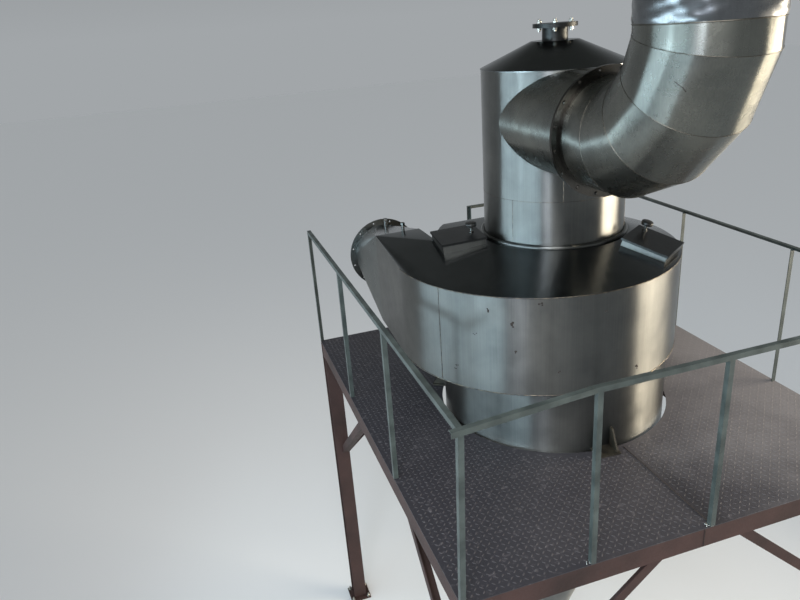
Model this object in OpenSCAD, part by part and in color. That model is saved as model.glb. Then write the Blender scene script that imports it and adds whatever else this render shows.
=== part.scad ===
// Cyclone separator with a scroll head, standing in a steel service platform.
// Origin: on the floor, in the middle of the outline seen from above, which includes the elbow
// that reaches over the front. X runs along the front of the platform, Y away from the front,
// where the gas comes in, and Z up. All sizes in mm.

/* [Cyclone body] */
// Outside diameter of the barrel
barrel_d = 1590; // [1200:10:2000]
// Thickness of the steel sheet
sheet = 5; // [3:0.5:8]
// How far the scroll stands out from the barrel on the inlet side
scroll_reach = 325; // [240:5:440]
// How far the scroll stands out from the barrel at the end of its turn
scroll_end = 5; // [5:5:60]
// Height of the scroll wall
scroll_h = 625; // [500:5:800]
// Height of the scroll floor above the platform
scroll_base = 552; // [450:1:750]
// Rise of the deck from the scroll rim to the foot of the outlet drum
deck_rise = 105; // [60:5:200]
// Length of the straight inlet channel behind the cyclone axis
inlet_run = 545; // [300:5:600]
// Rise of the deck along the inlet channel
deck_lift = 75; // [0:5:120]
// Rise of the floor along the inlet channel
floor_lift = 50; // [0:5:100]
// Depth of the barrel below the platform
barrel_drop = 260; // [200:10:400]
// Length of the cone
cone_h = 1900; // [1500:10:2100]
// Outside diameter of the dust outlet
dust_d = 260; // [180:10:350]
// Length of the vortex tube below the scroll floor
vortex_drop = 120; // [40:10:300]

/* [Inlet] */
// Outside diameter of the round end of the inlet transition
inlet_d = 470; // [400:10:600]
// Length of the square-to-round transition
transition_len = 620; // [500:10:800]
// Width of the flange rings
flange_w = 48; // [40:1:70]
// Thickness of the flange rings
flange_t = 8; // [6:1:14]

/* [Outlet] */
// Outside diameter of the outlet drum
drum_d = 932; // [800:2:1000]
// Height of the outlet drum
drum_h = 1070; // [960:10:1200]
// Rise of the cone roof
roof_rise = 146; // [100:2:200]
// Diameter of the flat top of the roof
roof_top_d = 300; // [280:10:400]
// Height of the collar on the roof, up to its flange
collar_h = 76; // [30:2:120]
// Outside diameter of the outlet branch and elbow
branch_d = 600; // [500:10:640]
// Sideways offset of the branch from the drum axis
branch_offset = 150; // [120:5:180]
// Height of the branch axis above the foot of the drum
branch_rise = 768; // [600:1:800]
// Distance of the branch joint from the drum axis
branch_len = 838; // [700:1:900]
// Distance of the start of the elbow from the drum axis
elbow_start = 930; // [900:5:1100]
// Thickness of the gasket in the branch joint
gasket_t = 3; // [2:0.5:5]
// Centreline radius of the elbow
elbow_r = 590; // [500:5:700]
// Straight rise at the end of the elbow
elbow_rise = 110; // [20:10:200]

/* [Deck fittings] */
// Length of an inspection hatch round the deck
hatch_l = 300; // [240:10:380]
// Length of an inspection hatch down the slope
hatch_w = 290; // [220:10:300]
// Height of a hatch frame above the deck
hatch_rise = 45; // [40:5:80]

/* [Platform] */
// Height of the platform surface above the floor
platform_h = 3000; // [2900:10:3600]
// Width of the platform
platform_w = 2980; // [2800:20:3400]
// Depth of the platform
platform_l = 3340; // [3000:20:3600]
// How far the cyclone stands to the left of the middle of the platform
platform_shift = 60; // [0:5:100]
// Thickness of the checker plate
plate_t = 5; // [4:0.5:8]
// Gap between the barrel and the plate around it
hole_gap = 25; // [25:5:60]
// Height of the edge channels
beam_h = 120; // [100:10:160]
// Flange width of the edge channels
beam_w = 53; // [45:1:65]
// Size of the column section
leg_w = 125; // [100:5:150]
// Reach of the knee braces along the beam
brace_reach = 1200; // [800:10:1200]
// Drop of the knee braces down the column
brace_drop = 1050; // [700:10:1100]

/* [Handrail] */
// Height of the handrail above the plate
rail_h = 1050; // [950:10:1200]
// Leg of the handrail angle
rail_a = 30; // [25:1:50]
// Thickness of the handrail angle
rail_t = 3; // [3:0.5:5]
// How far the front left corner of the handrail is pushed out over the front
corner_lean = 70; // [0:5:100]

/* [Hidden] */
$fn = 96;
gap = 0.3;
big = 3000;
barrel_r = barrel_d / 2;
right_r = barrel_r + scroll_end;
left_x = barrel_r + scroll_reach;
scroll_r = (left_x + right_r) / 2;
scroll_c = (left_x - right_r) / 2;
z_floor = platform_h + scroll_base;
z_rim = z_floor + scroll_h;
z_neck = z_rim + deck_rise;
z_eave = z_neck + drum_h;
z_barrel = platform_h - barrel_drop;
z_dust = z_barrel - cone_h;
drum_r = drum_d / 2;
branch_r = branch_d / 2;
z_branch = z_neck + branch_rise;
inlet_r = inlet_d / 2;
mouth_x = barrel_r;
inlet_x = -(mouth_x + 0.32 * scroll_reach);
z_inlet = z_floor + scroll_h / 2 + floor_lift;
y_flange = inlet_run + transition_len;
hole_r = barrel_r + hole_gap;
mitre = 11.25;
gore = 2 * elbow_r * tan(mitre);
riser_y = -(elbow_start + elbow_r);
seam_a = 203;
z_beam = platform_h - plate_t;
z_leg = z_beam - beam_h;
lug_a = 265;
collar_bolt_r = 112;
foot_out = 40;
reach_back = platform_l / 2 + foot_out;
reach_front = elbow_start + elbow_r + branch_r + flange_w;
axis_y = (max(reach_front, reach_back) - reach_back) / 2;
deck_flat = 40;
hatch_a = [174, 305];

steel = [0.76, 0.77, 0.78];
dark_steel = [0.30, 0.31, 0.32];
lug_paint = [0.22, 0.21, 0.16];
gasket_brown = [0.36, 0.27, 0.22];
red_oxide = [0.45, 0.22, 0.20];
plate_grey = [0.48, 0.42, 0.43];
rail_paint = [0.45, 0.52, 0.50];

// Moves a piece from the axis of the cyclone to its place in the frame
module on_axis() {
  translate([-platform_shift, axis_y, 0])
    children();
}

// The same for the platform, whose middle is at x = 0
module on_stand() {
  translate([0, axis_y, 0])
    children();
}

// Plan of the scroll: a half circle in front, the barrel circle behind, the inlet channel at left
module scroll_plan(inset = 0, run = 0) {
  intersection() {
    translate([-scroll_c, 0])
      circle(r = scroll_r - inset);
    translate([-big, -big])
      square([2 * big, big]);
  }
  intersection() {
    circle(r = right_r - inset);
    translate([-big, 0])
      square([2 * big, big]);
  }
  translate([-left_x + inset, -1])
    square([scroll_reach - 2 * inset, inlet_run + 1 + run]);
}

// Flat wedge seen from the axis between two angles less than 180 degrees apart
module wedge(a0, a1) {
  am = (a0 + a1) / 2;
  polygon([
    [0, 0],
    [big * cos(a0), big * sin(a0)],
    [1.6 * big * cos(am), 1.6 * big * sin(am)],
    [big * cos(a1), big * sin(a1)]
  ]);
}

module scroll_shell() {
  difference() {
    scroll_plan();
    scroll_plan(sheet, 1);
  }
}

// Everything below the outside of the deck: from the rim it rises to the drum and to the inlet
module deck_hull(drop = 0, inset = 0) {
  hull() {
    translate([0, 0, z_rim - drop])
      linear_extrude(height = sheet)
        scroll_plan(inset, -inset);
    translate([0, 0, z_neck - sheet - drop])
      cylinder(r = drum_r + deck_flat - inset, h = sheet);
    translate([-left_x + inset, inlet_run - 1 - inset, z_rim + deck_lift - drop])
      cube([scroll_reach - 2 * inset, 1, sheet]);
  }
}

module deck_body() {
  intersection() {
    deck_hull();
    translate([0, 0, z_rim - 1])
      linear_extrude(height = deck_rise + 10)
        scroll_plan();
  }
}

// The space under the climbing floor of the inlet channel, kept free of the walls
module below_channel() {
  translate([-left_x - 10, 0, 0])
    rotate([90, 0, 90])
      linear_extrude(height = scroll_reach + 10)
        polygon([
          [0, z_floor - 50], [inlet_run + 5, z_floor - 50],
          [inlet_run + 5, z_floor + floor_lift], [inlet_run, z_floor + floor_lift], [0, z_floor]
        ]);
}

// The part of the scroll wall that lies in the given plan areas
module wall_part(height) {
  translate([0, 0, z_floor])
    linear_extrude(height = height)
      intersection() {
        scroll_shell();
        union()
          children();
      }
}

// The same, cut to the climbing deck and the climbing floor
module wall_to_deck() {
  difference() {
    intersection() {
      wall_part(scroll_h + deck_rise)
        children();
      union() {
        deck_hull(sheet + gap, -2);
        translate([-big, -big, z_floor - 10])
          cube([2 * big, 2 * big, scroll_h + 10 - sheet]);
      }
    }
    below_channel();
  }
}

module scroll_wall_inlet() {
  color(steel) on_axis()
    wall_to_deck()
      intersection() {
        translate([-big, -big])
          square([big - mouth_x - 20, 2 * big]);
        union() {
          wedge(175, seam_a);
          translate([-big, 0])
            square([big, big]);
        }
      }
}

module scroll_wall_front() {
  color(steel) on_axis()
    wall_part(scroll_h - gap) {
      wedge(seam_a, 290);
      wedge(280, 360);
    }
}

module scroll_wall_back() {
  color(steel) on_axis()
    wall_to_deck()
      translate([-mouth_x - sheet - 5, 0])
        square([2 * big, big]);
}

// Distance of the scroll rim from the axis at angle a
function rim_at(a) = sqrt(pow(scroll_r, 2) - pow(scroll_c * sin(a), 2)) - scroll_c * cos(a);

// In front the deck falls from the neck straight to the rim. At the left it is made of straight
// lines that run from the neck to the raised corner of the inlet; this gives the angle at which
// the line through p leaves the neck.
neck_r = drum_r + deck_flat;
tip = [-left_x, inlet_run];
function leaves_at(p) =
  let(d = (p - tip) / norm(p - tip), b = d * tip)
  let(end = tip - d * (b + sqrt(b * b - tip * tip + neck_r * neck_r)))
  atan2(end[1], end[0]);

// Puts a hatch flat on the deck, with its first axis away from the drum
module hatch_place(a) {
  mid = (neck_r + hatch_w / 2 + 25) * [cos(a), sin(a)];
  at_left = a < 180;
  fall_a = at_left ? leaves_at(mid) : a;
  fall_to = [cos(fall_a), sin(fall_a)];
  fall = at_left
    ? (deck_rise - deck_lift - sheet) / (fall_to * tip - neck_r)
    : (deck_rise - sheet) / (rim_at(a) - neck_r);
  translate([mid[0], mid[1], z_neck - fall * (fall_to * mid - neck_r)])
    rotate([0, 0, fall_a])
      rotate([0, atan(fall), 0])
        rotate([0, 0, a - fall_a])
          children();
}

module scroll_deck() {
  color(dark_steel) on_axis()
    difference() {
      deck_body();
      deck_hull(sheet, -2);
      translate([0, 0, z_rim - 1])
        cylinder(r = drum_r, h = deck_rise + 20);
      for (a = hatch_a)
        hatch_place(a)
          translate([-hatch_w / 2 + 25, -hatch_l / 2 + 25, -60])
            cube([hatch_w - 50, hatch_l - 50, 120]);
    }
}

// Crescent floor, flat round the barrel and climbing along the inlet channel
module scroll_floor() {
  color(steel) on_axis() {
    translate([0, 0, z_floor - sheet])
      linear_extrude(height = sheet)
        difference() {
          scroll_plan();
          circle(r = barrel_r - sheet);
          translate([-big, 0])
            square([big - mouth_x, big]);
        }
    translate([-left_x, 0, 0])
      rotate([90, 0, 90])
        linear_extrude(height = scroll_reach + sheet / 2)
          polygon([
            [0, z_floor - sheet], [inlet_run, z_floor + floor_lift - sheet],
            [inlet_run, z_floor + floor_lift], [0, z_floor]
          ]);
  }
}

// Square-to-round transition between the inlet channel and the round duct
module inlet_transition() {
  z0 = z_floor + floor_lift;
  z1 = z_rim + deck_lift;
  color(steel) on_axis()
    difference() {
      hull() {
        translate([-left_x, inlet_run, z0 - sheet])
          cube([scroll_reach, 2, z1 - z0 + 2 * sheet]);
        translate([inlet_x, y_flange, z_inlet])
          rotate([90, 0, 0])
            cylinder(r = inlet_r, h = 2, $fn = 48);
      }
      hull() {
        translate([-left_x + sheet, inlet_run - 1, z0])
          cube([scroll_reach - 2 * sheet, 2, z1 - z0]);
        translate([inlet_x, y_flange + 1, z_inlet])
          rotate([90, 0, 0])
            cylinder(r = inlet_r - sheet, h = 2, $fn = 48);
      }
    }
}

// Flat flange ring with a collar, lying on z = 0 and rising
module flange_ring(r, bolts, collar = 22) {
  difference() {
    union() {
      cylinder(r = r + flange_w, h = flange_t);
      cylinder(r = r + 6, h = flange_t + collar);
    }
    translate([0, 0, -1])
      cylinder(r = r + gap, h = flange_t + collar + 2);
    for (i = [0:bolts - 1])
      rotate([0, 0, (i + 0.5) * 360 / bolts])
        translate([r + flange_w * 0.58, 0, -1])
          cylinder(r = 6.5, h = flange_t + 2, $fn = 24);
  }
}

module inlet_flange() {
  color(steel) on_axis()
    translate([inlet_x, y_flange, z_inlet])
      rotate([90, 0, 0])
        difference() {
          cylinder(r = inlet_r + flange_w, h = flange_t);
          translate([0, 0, -1])
            cylinder(r = inlet_r + gap, h = flange_t + 2);
          for (i = [0:11])
            rotate([0, 0, (i + 0.5) * 30])
              translate([inlet_r + flange_w * 0.58, 0, -1])
                cylinder(r = 6.5, h = flange_t + 2, $fn = 24);
        }
}

module barrel() {
  color(steel) on_axis()
    translate([0, 0, z_barrel])
      difference() {
        cylinder(r = barrel_r, h = z_floor - sheet - z_barrel);
        translate([0, 0, -1])
          cylinder(r = barrel_r - sheet, h = z_floor);
      }
}

// Conical shell ring from radius r0 at z0 up to r1 at z1
module cone_shell(r0, z0, r1, z1) {
  rotate_extrude()
    polygon([[r0 - sheet, z0], [r0, z0], [r1, z1], [r1 - sheet, z1]]);
}

module joint_flange(r, z, w) {
  translate([0, 0, z])
    difference() {
      cylinder(r = r + w, h = flange_t);
      translate([0, 0, -1])
        cylinder(r = r - sheet, h = flange_t + 2);
    }
}

module cone_upper() {
  zm = z_barrel - cone_h * 0.5;
  rm = (barrel_r + dust_d / 2) / 2;
  color(steel) on_axis() {
    cone_shell(rm, zm, barrel_r, z_barrel);
    joint_flange(rm, zm, 45);
  }
}

module cone_lower() {
  zm = z_barrel - cone_h * 0.5;
  rm = (barrel_r + dust_d / 2) / 2;
  color(steel) on_axis() {
    cone_shell(dust_d / 2, z_dust, rm, zm);
    joint_flange(rm, zm - flange_t, 45);
  }
}

module dust_flange() {
  color(steel) on_axis()
    translate([0, 0, z_dust - 90])
      difference() {
        union() {
          cylinder(r = dust_d / 2, h = 90);
          cylinder(r = dust_d / 2 + flange_w, h = flange_t + 4);
        }
        translate([0, 0, -1])
          cylinder(r = dust_d / 2 - sheet, h = 100);
        for (i = [0:7])
          rotate([0, 0, (i + 0.5) * 45])
            translate([dust_d / 2 + flange_w * 0.58, 0, -1])
              cylinder(r = 7, h = flange_t + 6, $fn = 24);
      }
}

module vortex_tube() {
  color(steel) on_axis()
    translate([0, 0, z_floor - vortex_drop])
      difference() {
        cylinder(r = drum_r - gap, h = z_neck - z_floor + vortex_drop);
        translate([0, 0, -1])
          cylinder(r = drum_r - sheet, h = 2000);
      }
}

module outlet_drum() {
  color(steel) on_axis()
    difference() {
      translate([0, 0, z_neck])
        cylinder(r = drum_r, h = drum_h);
      translate([0, 0, z_neck - 1])
        cylinder(r = drum_r - sheet, h = drum_h + 2);
      translate([-branch_offset, 0, z_branch])
        rotate([90, 0, 0])
          cylinder(r = branch_r - sheet, h = 1000);
    }
}

module drum_foot_ring() {
  color(steel) on_axis()
    translate([0, 0, z_neck])
      rotate_extrude()
        intersection() {
          translate([drum_r + gap + 13, 9])
            circle(r = 13, $fn = 24);
          translate([drum_r, 0])
            square([60, 30]);
        }
}

module drum_roof() {
  color(dark_steel) on_axis()
    translate([0, 0, z_eave])
      rotate_extrude()
        polygon([
          [75, roof_rise - sheet],
          [roof_top_d / 2 - 12, roof_rise - sheet],
          [drum_r - 14, 0],
          [drum_r + 4, 0],
          [drum_r + 4, 3],
          [roof_top_d / 2, roof_rise],
          [75, roof_rise]
        ]);
}

// Holes for the six long studs that clamp the cover to the collar
module collar_holes() {
  for (i = [0:5])
    rotate([0, 0, i * 60])
      translate([collar_bolt_r, 0, collar_h - 5])
        cylinder(r = 8, h = 40, $fn = 24);
}

module roof_flange() {
  color(steel) on_axis()
    translate([0, 0, z_eave + roof_rise])
      difference() {
        union() {
          cylinder(r = 80, h = collar_h + 12);
          translate([0, 0, collar_h])
            cylinder(r = collar_bolt_r + 26, h = 12);
        }
        translate([0, 0, -1])
          cylinder(r = 75, h = collar_h + 20);
        collar_holes();
      }
}

module roof_cover() {
  color(steel) on_axis()
    translate([0, 0, z_eave + roof_rise])
      difference() {
        translate([0, 0, collar_h + 12])
          cylinder(r = collar_bolt_r + 26, h = 12);
        collar_holes();
      }
}

module outlet_branch() {
  color(steel) on_axis()
    difference() {
      translate([-branch_offset, 0, z_branch])
        rotate([90, 0, 0])
          difference() {
            cylinder(r = branch_r, h = branch_len);
            translate([0, 0, -1])
              cylinder(r = branch_r - sheet, h = branch_len + 2);
          }
      translate([0, 0, z_neck])
        cylinder(r = drum_r + gap, h = drum_h);
    }
}

module branch_flange() {
  color(steel) on_axis()
    translate([-branch_offset, -branch_len, z_branch])
      rotate([-90, 0, 0])
        flange_ring(branch_r, 16);
}

module branch_gasket() {
  color(gasket_brown) on_axis()
    translate([-branch_offset, -branch_len, z_branch])
      rotate([90, 0, 0])
        difference() {
          cylinder(r = branch_r + flange_w - 2, h = gasket_t);
          translate([0, 0, -1])
            cylinder(r = branch_r - sheet, h = gasket_t + 2);
          for (i = [0:15])
            rotate([0, 0, (i + 0.5) * 22.5])
              translate([branch_r + flange_w * 0.58, 0, -1])
                cylinder(r = 6.5, h = gasket_t + 2, $fn = 24);
        }
}

module elbow_flange() {
  color(steel) on_axis()
    translate([-branch_offset, -branch_len - gasket_t, z_branch])
      rotate([90, 0, 0])
        flange_ring(branch_r, 16);
}

// Half space above the plane z = 0, turned about X
module above(t) {
  rotate([t, 0, 0])
    translate([-900, -900, 0])
      cube([1800, 1800, 1200]);
}

module below(t) {
  rotate([t, 0, 0])
    translate([-900, -900, -1200])
      cube([1800, 1800, 1200]);
}

// Straight piece of elbow pipe along z, from z0 to z1, with each end square or mitred
module pipe_piece(z0, z1, cut0, cut1) {
  difference() {
    translate([0, 0, z0 - (cut0 ? 90 : 0)])
      cylinder(r = branch_r, h = z1 - z0 + (cut0 ? 90 : 0) + (cut1 ? 90 : 0));
    translate([0, 0, z0 - 100])
      cylinder(r = branch_r - sheet, h = z1 - z0 + 200);
    if (cut0)
      translate([0, 0, z0])
        below(mitre);
    if (cut1)
      translate([0, 0, z1])
        above(-mitre);
  }
}

// Turns z to the direction that leaves the drum and climbs by angle a
module along(y, z, a) {
  translate([-branch_offset, y, z])
    rotate([90 - a, 0, 0])
      children();
}

y_0 = -(elbow_start + gore / 2);
y_1 = y_0 - gore * cos(22.5);
y_2 = y_1 - gore * cos(45);
y_3 = y_2 - gore * cos(67.5);
z_1 = z_branch + gore * sin(22.5);
z_2 = z_1 + gore * sin(45);
z_3 = z_2 + gore * sin(67.5);
z_end = z_branch + elbow_r + elbow_rise;

module elbow_stub() {
  color(steel) on_axis()
    along(-branch_len - gasket_t, z_branch, 0)
      pipe_piece(0, -y_0 - branch_len - gasket_t, false, true);
}

module elbow_gore_1() {
  color(steel) on_axis()
    along(y_0, z_branch, 22.5)
      pipe_piece(0, gore, true, true);
}

module elbow_gore_2() {
  color(steel) on_axis()
    along(y_1, z_1, 45)
      pipe_piece(0, gore, true, true);
}

module elbow_gore_3() {
  color(steel) on_axis()
    along(y_2, z_2, 67.5)
      pipe_piece(0, gore, true, true);
}

module elbow_end() {
  color(steel) on_axis()
    along(y_3, z_3, 90)
      pipe_piece(0, z_end - z_3, true, false);
}

module riser_flange() {
  color(steel) on_axis()
    translate([-branch_offset, y_3, z_end])
      rotate([180, 0, 0])
        flange_ring(branch_r, 16);
}

// Frame of four upright strips, cut below to the shape of the deck
module hatch_frame(a) {
  color(steel) on_axis()
    difference() {
      hatch_place(a)
        difference() {
          translate([-hatch_w / 2, -hatch_l / 2, -40])
            cube([hatch_w, hatch_l, hatch_rise + 40]);
          translate([-hatch_w / 2 + sheet, -hatch_l / 2 + sheet, -50])
            cube([hatch_w - 2 * sheet, hatch_l - 2 * sheet, hatch_rise + 100]);
        }
      deck_body();
      translate([0, 0, z_rim - 200])
        linear_extrude(height = 201)
          scroll_plan(-30);
    }
}

// Lid with turned-down edges and a round knob on a stud near its upper edge
module hatch_lid(a, knob_y = 0) {
  color(steel) on_axis()
    hatch_place(a)
      translate([0, 0, hatch_rise]) {
        difference() {
          translate([-hatch_w / 2 - 8, -hatch_l / 2 - 8, -10])
            cube([hatch_w + 16, hatch_l + 16, 14]);
          translate([-hatch_w / 2 - 5, -hatch_l / 2 - 5, -11])
            cube([hatch_w + 10, hatch_l + 10, 11 + gap]);
        }
        translate([-hatch_w / 2 + 50, knob_y, 3]) {
          cylinder(r = 8, h = 62, $fn = 24);
          translate([0, 0, 42])
            cylinder(r = 36, h = 22, $fn = 32);
        }
      }
}

module hatch_frame_left() {
  hatch_frame(hatch_a[0]);
}

module hatch_frame_right() {
  hatch_frame(hatch_a[1]);
}

module hatch_lid_left() {
  hatch_lid(hatch_a[0]);
}

module hatch_lid_right() {
  hatch_lid(hatch_a[1], hatch_l / 2 - 50);
}

// Support lug: two tapered gussets on a foot plate
module lug(a) {
  color(lug_paint) on_axis()
    translate([0, 0, platform_h])
      difference() {
        rotate([0, 0, a]) {
          translate([barrel_r - 10, -78, 0])
            cube([120, 156, 12]);
          for (y = [-64, 52])
            translate([0, y + 12, 0])
              rotate([90, 0, 0])
                linear_extrude(height = 12)
                  polygon([
                    [barrel_r - 10, 0],
                    [barrel_r + 100, 0],
                    [barrel_r + 100, 20],
                    [barrel_r + 25, 145],
                    [barrel_r - 10, 145]
                  ]);
        }
        translate([0, 0, -1])
          cylinder(r = barrel_r + gap, h = 200);
      }
}

module lug_front() {
  lug(lug_a);
}

module lug_right() {
  lug(lug_a + 120);
}

module lug_left() {
  lug(lug_a + 240);
}

module plate_half(x) {
  color(plate_grey) on_stand()
    translate([0, 0, z_beam])
      difference() {
        translate([x, -platform_l / 2, 0])
          cube([platform_w / 2, platform_l, plate_t]);
        translate([-platform_shift, 0, -1])
          cylinder(r = hole_r, h = plate_t + 2);
      }
}

module plate_left() {
  plate_half(-platform_w / 2);
}

module plate_right() {
  plate_half(0);
}

// Channel section lying along X, web at y = 0, flanges towards +y, top at z = 0
module channel(len, h, w, web = 6, fl = 8) {
  translate([-len / 2, 0, 0])
    rotate([90, 0, 90])
      linear_extrude(height = len)
        polygon([
          [0, 0], [w, 0], [w, -fl], [web, -fl],
          [web, -h + fl], [w, -h + fl], [w, -h], [0, -h]
        ]);
}

module beam_front() {
  color(red_oxide) on_stand()
    translate([0, -platform_l / 2, z_beam])
      channel(platform_w, beam_h, beam_w);
}

module beam_back() {
  color(red_oxide) on_stand()
    translate([0, platform_l / 2, z_beam])
      mirror([0, 1, 0])
        channel(platform_w, beam_h, beam_w);
}

module beam_left() {
  color(red_oxide) on_stand()
    translate([-platform_w / 2, 0, z_beam])
      rotate([0, 0, -90])
        channel(platform_l - 2 * beam_w, beam_h, beam_w);
}

module beam_right() {
  color(red_oxide) on_stand()
    translate([platform_w / 2, 0, z_beam])
      rotate([0, 0, 90])
        channel(platform_l - 2 * beam_w, beam_h, beam_w);
}

// Welded frame of four channels that carries the lugs around the hole
module trimmer_frame() {
  t = hole_r + 10;
  color(red_oxide) on_axis() {
    for (s = [0, 180])
      rotate([0, 0, s])
        translate([t, 0, z_beam])
          rotate([0, 0, -90])
            channel(platform_l - 2 * beam_w, beam_h, beam_w);
    for (s = [0, 180])
      rotate([0, 0, s])
        translate([0, t, z_beam])
          channel(2 * t + 2, beam_h, beam_w);
  }
}

// Angle brace in the XZ plane, from the column face up to the beam
module brace() {
  a = atan2(brace_drop, brace_reach);
  len = sqrt(brace_drop * brace_drop + brace_reach * brace_reach);
  intersection() {
    translate([0, 0, -brace_drop])
      rotate([0, -a, 0])
        translate([-200, 0, 0])
          rotate([90, 0, 90])
            linear_extrude(height = len + 400)
              polygon([[0, -32], [63, -32], [63, -26], [6, -26], [6, 31], [0, 31]]);
    translate([0, -100, -brace_drop - 200])
      cube([brace_reach + 300, 200, brace_drop + 200]);
  }
}

// Column of I section with foot and cap plates and its two knee braces, at the origin
module leg() {
  w = leg_w;
  color(red_oxide) {
    translate([-w / 2 - foot_out, -w / 2 - foot_out, 0])
      difference() {
        cube([w + 2 * foot_out, w + 2 * foot_out, 16]);
        for (x = [22, w + 2 * foot_out - 22], y = [22, w + 2 * foot_out - 22])
          translate([x, y, -1])
            cylinder(r = 9, h = 20, $fn = 24);
      }
    translate([0, 0, 15])
      linear_extrude(height = z_leg - 20)
        union() {
          translate([-w / 2, -w / 2])
            square([w, 9]);
          translate([-w / 2, w / 2 - 9])
            square([w, 9]);
          translate([-3.5, -w / 2])
            square([7, w]);
        }
    translate([-w / 2, -w / 2, z_leg - 10])
      cube([w, w, 10]);
    translate([0, 0, z_leg])
      brace();
    translate([0, 0, z_leg])
      rotate([0, 0, 90])
        mirror([0, 1, 0])
          brace();
  }
}

module leg_place(sx, sy) {
  translate([-sx * (platform_w - leg_w) / 2, axis_y - sy * (platform_l - leg_w) / 2, 0])
    scale([sx, sy, 1])
      leg();
}

module leg_front_left() {
  leg_place(1, 1);
}

module leg_front_right() {
  leg_place(-1, 1);
}

module leg_back_left() {
  leg_place(1, -1);
}

module leg_back_right() {
  leg_place(-1, -1);
}

// Angle post standing on the plate with its corner towards -x -y
module post(longer = 0) {
  linear_extrude(height = rail_h - 1 + longer)
    polygon([
      [0, 0], [rail_a, 0], [rail_a, rail_t],
      [rail_t, rail_t], [rail_t, rail_a], [0, rail_a]
    ]);
}

// Top rail along X from 0: flat on top, one leg down on the outside
module top_rail(len) {
  rotate([90, 0, 90])
    linear_extrude(height = len)
      polygon([
        [0, rail_h - rail_a], [rail_t, rail_h - rail_a], [rail_t, rail_h - rail_t],
        [rail_a, rail_h - rail_t], [rail_a, rail_h], [0, rail_h]
      ]);
}

// Plan of the front rail, w wide: straight from x = run, out to the corner before it
module bent_strip(w, run) {
  y0 = -corner_lean * (run + 35) / run;
  polygon([[-35, y0], [run, 0], [platform_w, 0], [platform_w, w], [run, w], [-35, y0 + w]]);
}

// Front rail: its first bay runs out to the leaning corner post and a little past it. That post
// stands clear inside the hanging leg of the rail and is welded under its top.
module rail_front() {
  bay = platform_w / 4;
  run = bay - rail_a / 2 - 5;
  color(rail_paint) on_stand()
    translate([-platform_w / 2, -platform_l / 2, platform_h]) {
      translate([0, 0, rail_h - rail_t])
        linear_extrude(height = rail_t)
          bent_strip(rail_a, run);
      translate([0, 0, rail_h - rail_a])
        linear_extrude(height = rail_a - rail_t)
          bent_strip(rail_t, run);
      intersection() {
        translate([0, rail_t + 5, 0])
          rotate([atan(corner_lean / rail_h), 0, 0])
            translate([0, 0, -10])
              post(30);
        translate([-10, -corner_lean - 10, 0])
          cube([rail_a + 20, corner_lean + 100, rail_h - 1]);
      }
      for (i = [1:3])
        translate([i * bay - rail_a / 2, 0, 0])
          post();
      translate([platform_w, 0, 0])
        mirror([1, 0, 0])
          post();
    }
}

// Side rail at the left: three bays, its last post at the back corner
module side_rail(lean = 0) {
  y = rail_a - lean + (lean > 0 ? 5 : 0);
  translate([-platform_w / 2, -platform_l / 2, platform_h]) {
    translate([0, y, 0])
      multmatrix([[0, 1, 0, 0], [1, 0, 0, 0], [0, 0, 1, 0], [0, 0, 0, 1]])
        top_rail(platform_l - y);
    for (i = [1, 2])
      translate([0, i * platform_l / 3 - rail_a / 2, 0])
        post();
    translate([0, platform_l, 0])
      mirror([0, 1, 0])
        post();
  }
}

module rail_left() {
  color(rail_paint) on_stand()
    side_rail(corner_lean);
}

module rail_right() {
  color(rail_paint) on_stand()
    mirror([1, 0, 0])
      side_rail();
}

// Back rail: stops short of the inlet duct
module rail_back() {
  color(rail_paint) on_stand()
    translate([platform_w / 2 - rail_a, platform_l / 2, platform_h])
      rotate([0, 0, 180]) {
        top_rail(platform_w / 2 - rail_a);
        for (i = [1, 2])
          translate([i * platform_w / 4 - rail_a - (i == 2 ? rail_a : 0), 0, 0])
            post();
      }
}

scroll_wall_inlet();
scroll_wall_front();
scroll_wall_back();
scroll_deck();
scroll_floor();
inlet_transition();
inlet_flange();
barrel();
cone_upper();
cone_lower();
dust_flange();
vortex_tube();
outlet_drum();
drum_foot_ring();
drum_roof();
roof_flange();
roof_cover();
outlet_branch();
branch_flange();
branch_gasket();
elbow_flange();
elbow_stub();
elbow_gore_1();
elbow_gore_2();
elbow_gore_3();
elbow_end();
riser_flange();
hatch_frame_left();
hatch_frame_right();
hatch_lid_left();
hatch_lid_right();
lug_front();
lug_right();
lug_left();
plate_left();
plate_right();
beam_front();
beam_back();
beam_left();
beam_right();
trimmer_frame();
leg_front_left();
leg_front_right();
leg_back_left();
leg_back_right();
rail_front();
rail_left();
rail_right();
rail_back();
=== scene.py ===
import bpy, math, random
from mathutils import Matrix, Vector


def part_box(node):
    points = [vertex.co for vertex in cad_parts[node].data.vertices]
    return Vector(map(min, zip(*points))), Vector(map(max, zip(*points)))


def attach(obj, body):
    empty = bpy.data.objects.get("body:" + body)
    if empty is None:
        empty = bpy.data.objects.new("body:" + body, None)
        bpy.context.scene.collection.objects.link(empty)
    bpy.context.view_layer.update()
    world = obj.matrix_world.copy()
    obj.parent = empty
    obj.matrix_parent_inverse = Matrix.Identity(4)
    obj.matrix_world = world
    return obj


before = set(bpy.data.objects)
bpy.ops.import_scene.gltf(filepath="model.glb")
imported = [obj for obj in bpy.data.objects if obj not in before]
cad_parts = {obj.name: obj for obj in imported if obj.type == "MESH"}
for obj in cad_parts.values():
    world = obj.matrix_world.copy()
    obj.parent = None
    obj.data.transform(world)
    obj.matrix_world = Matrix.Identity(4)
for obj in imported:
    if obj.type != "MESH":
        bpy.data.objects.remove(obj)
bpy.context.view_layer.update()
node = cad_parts

# Edge channels, trimmer frame and columns with knee braces.
# Hot-rolled mild steel, welded, then brushed by hand with red-oxide primer.


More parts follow.
